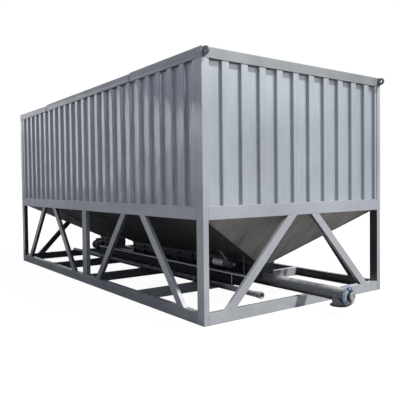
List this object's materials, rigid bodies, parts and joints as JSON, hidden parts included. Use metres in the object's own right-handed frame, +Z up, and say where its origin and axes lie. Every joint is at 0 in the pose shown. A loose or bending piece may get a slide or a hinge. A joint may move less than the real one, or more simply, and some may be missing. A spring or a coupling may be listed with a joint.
{
  "type": "horizontal cement silo",
  "caption": "Horizontal cement silo: corrugated steel box on a braced channel frame, with plate hoppers feeding a screw conveyor whose outlet spout stands out at one end.",
  "frame": {"origin": "on the ground under the middle of the frame, on the underside of the middle cross beam", "axes": "+Z up, +X along the silo towards the conveyor outlet, -Y towards the side with the filling pipe"},
  "size_m": [7.2495, 3.18, 3.05],
  "materials": {
    "frame_paint": "satin blue-grey paint",
    "wall_paint": "glossy blue-grey paint",
    "hopper_plate": "matt primer, brownish grey",
    "dark_steel": "dark dusty paint",
    "tube_paint": "satin grey paint",
    "flange_paint": "worn blue paint",
    "pipe_steel": "galvanised, dull"
  },
  "bodies": {
    "root": {"corner_post_front_left": "frame_paint", "corner_post_front_right": "frame_paint", "corner_post_back_left": "frame_paint", "corner_post_back_right": "frame_paint", "middle_post_front": "frame_paint", "middle_post_back": "frame_paint", "bottom_rail_front": "frame_paint", "bottom_rail_back": "frame_paint", "bottom_rail_left": "frame_paint", "bottom_rail_right": "frame_paint", "middle_rail_front": "frame_paint", "middle_rail_back": "frame_paint", "middle_rail_left": "frame_paint", "middle_rail_right": "frame_paint", "top_rail_front": "frame_paint", "top_rail_back": "frame_paint", "top_rail_left": "frame_paint", "top_rail_right": "frame_paint", "brace_front_1": "frame_paint", "brace_front_2": "frame_paint", "brace_front_3": "frame_paint", "brace_front_4": "frame_paint", "brace_back_1": "frame_paint", "brace_back_2": "frame_paint", "brace_back_3": "frame_paint", "brace_back_4": "frame_paint", "brace_left_1": "frame_paint", "brace_left_2": "frame_paint", "brace_right_1": "frame_paint", "brace_right_2": "frame_paint", "cross_beam_1": "frame_paint", "cross_beam_2": "frame_paint", "cross_beam_3": "frame_paint", "wall_front": "wall_paint", "wall_back": "wall_paint", "wall_left": "wall_paint", "wall_right": "wall_paint", "roof": "wall_paint", "hopper_large_front": "hopper_plate", "hopper_large_back": "hopper_plate", "hopper_large_left": "hopper_plate", "hopper_large_right": "hopper_plate", "hopper_small_front": "hopper_plate", "hopper_small_back": "hopper_plate", "hopper_small_left": "hopper_plate", "hopper_small_right": "hopper_plate", "feed_box_large": "dark_steel", "feed_box_small": "dark_steel", "conveyor_tube": "tube_paint", "conveyor_end_flange": "flange_paint", "outlet_spout": "tube_paint", "conveyor_drive": "dark_steel", "valve_actuator": "tube_paint", "bearer_front": "dark_steel", "bearer_back": "dark_steel", "filling_pipe": "pipe_steel", "lifting_lug_front_left": "frame_paint", "lifting_lug_front_right": "frame_paint", "lifting_lug_back_left": "frame_paint", "lifting_lug_back_right": "frame_paint"}
  },
  "joints": []
}
